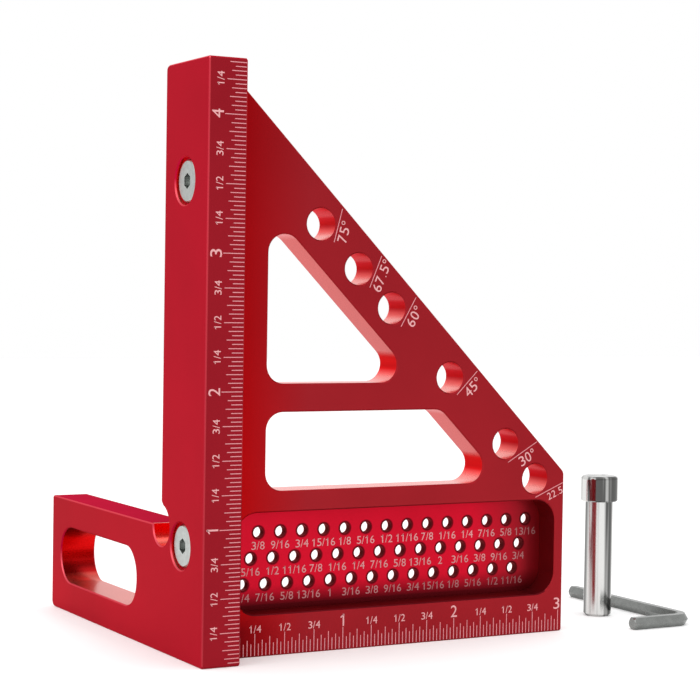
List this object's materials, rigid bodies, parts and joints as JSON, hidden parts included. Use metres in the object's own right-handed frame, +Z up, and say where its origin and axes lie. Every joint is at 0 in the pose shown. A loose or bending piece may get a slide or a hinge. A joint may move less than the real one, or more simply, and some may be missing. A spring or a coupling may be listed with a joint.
{
  "type": "angle square",
  "caption": "Triangular marking square on an L-shaped fence, with inch scales, angle holes, marking holes, pin and key.",
  "frame": {"origin": "bottom centre of the box round the rule, the pin and the key, on the surface they rest on", "axes": "+X along the base scale, away from the fence; +Y from the front faces to the end of the foot; +Z up the fence"},
  "size_m": [0.1152, 0.079, 0.112],
  "materials": {
    "anodised_plate": "satin red anodised, fine blasted grain",
    "anodised_fence": "satin red anodised, fine blasted grain",
    "screw_steel": "zinc plated, satin",
    "pin_steel": "turned and polished",
    "key_steel": "drawn bar, plated",
    "scale_white": "laser marked, whitish"
  },
  "bodies": {
    "triangle": {"triangle_plate": "anodised_plate"},
    "fence": {"fence_plate": "anodised_fence"},
    "upper_fastener": {"upper_screw": "screw_steel"},
    "lower_fastener": {"lower_screw": "screw_steel"},
    "pin": {"locating_pin": "pin_steel"},
    "key": {"hex_key": "key_steel"}
  },
  "joints": [
    {"name": "fence_take_off", "type": "slide", "parent": "triangle", "child": "fence", "axis": [-1, 0, 0], "range_m": [0, 0.03]},
    {"name": "upper_screw_out", "type": "slide", "parent": "fence", "child": "upper_fastener", "axis": [-1, 0, 0], "range_m": [0, 0.012]},
    {"name": "lower_screw_out", "type": "slide", "parent": "fence", "child": "lower_fastener", "axis": [-1, 0, 0], "range_m": [0, 0.012]},
    {"name": "pin_lift", "type": "slide", "parent": "triangle", "child": "pin", "axis": [0, 0, 1], "range_m": [0, 0.05]},
    {"name": "key_lift", "type": "slide", "parent": "triangle", "child": "key", "axis": [0, 0, 1], "range_m": [0, 0.05]}
  ]
}
